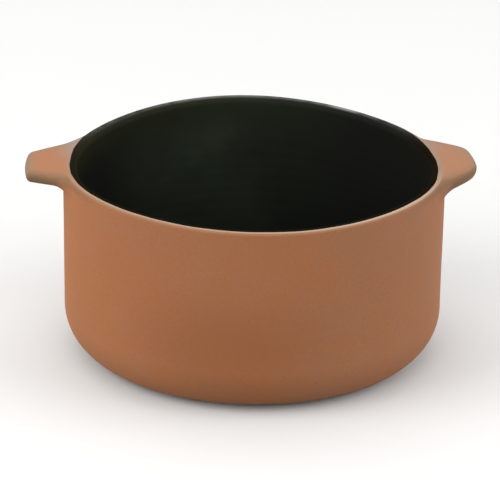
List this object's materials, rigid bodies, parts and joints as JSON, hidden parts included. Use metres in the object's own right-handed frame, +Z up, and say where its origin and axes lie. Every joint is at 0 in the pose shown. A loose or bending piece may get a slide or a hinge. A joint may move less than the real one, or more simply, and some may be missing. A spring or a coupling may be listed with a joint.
{
  "type": "gratin dish",
  "caption": "Deep round terracotta gratin dish, bare clay outside and black glaze inside, with flat lug handles level with the rim.",
  "frame": {"origin": "middle of the base, on the plane that the dish stands on", "axes": "+Z up through the open mouth, +X along the middle line of the two handles toward the rounder one, +Y to the back"},
  "size_m": [0.2365, 0.2, 0.1049],
  "materials": {
    "terracotta": "matte, unglazed",
    "slip_clay": "matte, unglazed",
    "black_glaze": "satin gloss"
  },
  "bodies": {
    "root": {"dish_body": "terracotta", "left_handle": "terracotta", "right_handle": "terracotta", "left_luting_slip": "slip_clay", "right_luting_slip": "slip_clay", "glaze_lining": "black_glaze"}
  },
  "joints": []
}
